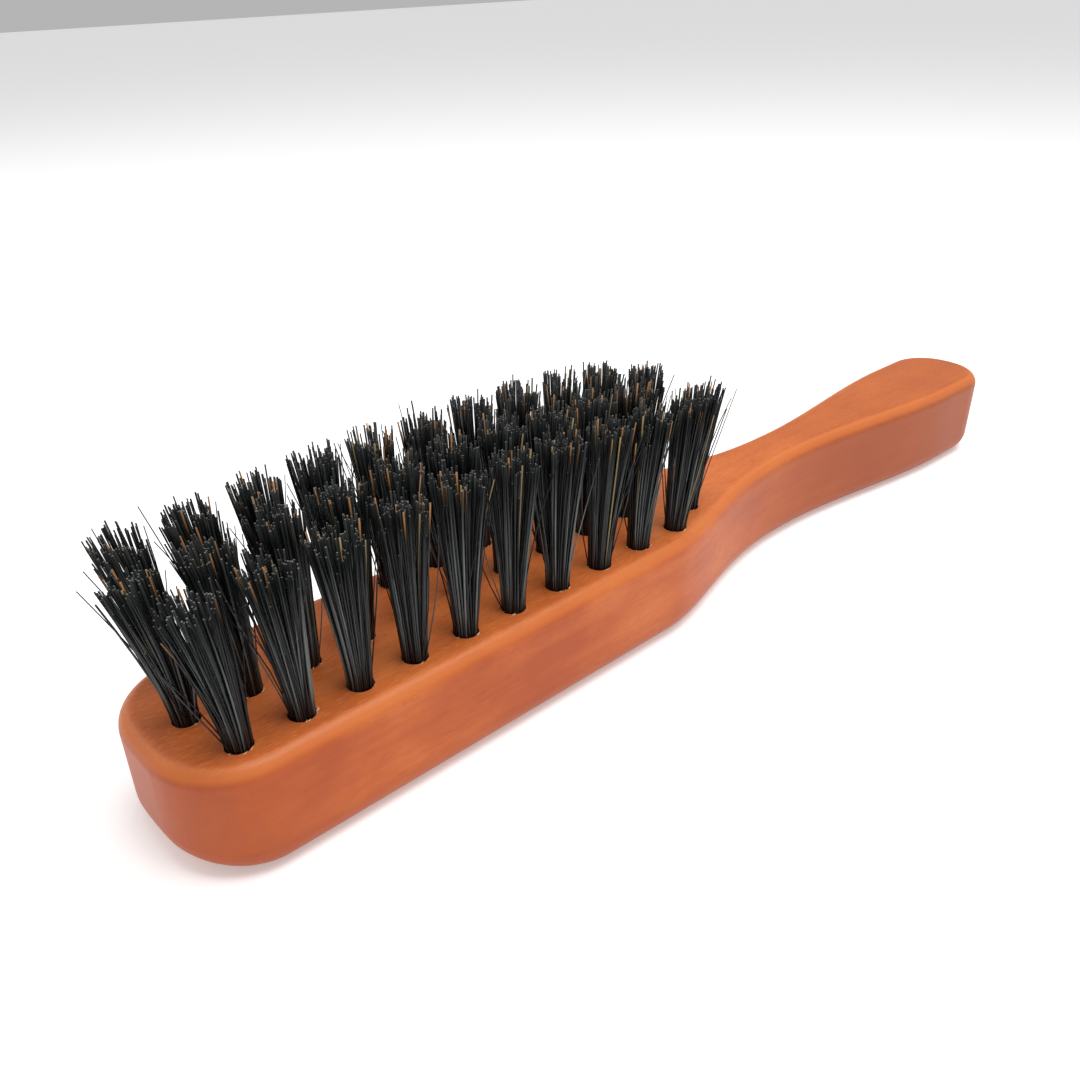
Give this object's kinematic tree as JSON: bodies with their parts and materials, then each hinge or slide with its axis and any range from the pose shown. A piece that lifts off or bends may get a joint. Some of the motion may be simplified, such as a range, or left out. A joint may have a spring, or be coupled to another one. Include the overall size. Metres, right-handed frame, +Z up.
{
  "type": "fade brush",
  "caption": "Barber's fade brush: one-piece wooden block with a waisted handle and staggered rows of dark flared bristle tufts.",
  "frame": {"origin": "middle of the bottom of the whole brush's box, on the surface that its back lies on", "axes": "+X along the brush from the toe to the end of the handle, +Y across it, +Z up, the way the bristles point"},
  "size_m": [0.1762, 0.0264, 0.0374],
  "materials": {
    "wood": "stained orange-brown, satin lacquer",
    "bristle": "charcoal-black boar-type bristle with some tan tips",
    "anchor_steel": "flat drawn steel strip"
  },
  "bodies": {
    "root": {"brush_block": "wood", "right_tuft_01": "bristle", "right_tuft_02": "bristle", "right_tuft_03": "bristle", "right_tuft_04": "bristle", "right_tuft_05": "bristle", "right_tuft_06": "bristle", "right_tuft_07": "bristle", "right_tuft_08": "bristle", "right_tuft_09": "bristle", "right_tuft_10": "bristle", "middle_tuft_01": "bristle", "middle_tuft_02": "bristle", "middle_tuft_03": "bristle", "middle_tuft_04": "bristle", "middle_tuft_05": "bristle", "middle_tuft_06": "bristle", "middle_tuft_07": "bristle", "middle_tuft_08": "bristle", "middle_tuft_09": "bristle", "middle_tuft_10": "bristle", "left_tuft_01": "bristle", "left_tuft_02": "bristle", "left_tuft_03": "bristle", "left_tuft_04": "bristle", "left_tuft_05": "bristle", "left_tuft_06": "bristle", "left_tuft_07": "bristle", "left_tuft_08": "bristle", "left_tuft_09": "bristle", "left_tuft_10": "bristle", "end_tuft_01": "bristle", "end_tuft_02": "bristle", "right_anchors": "anchor_steel", "middle_anchors": "anchor_steel", "left_anchors": "anchor_steel", "end_anchors": "anchor_steel"}
  },
  "joints": []
}
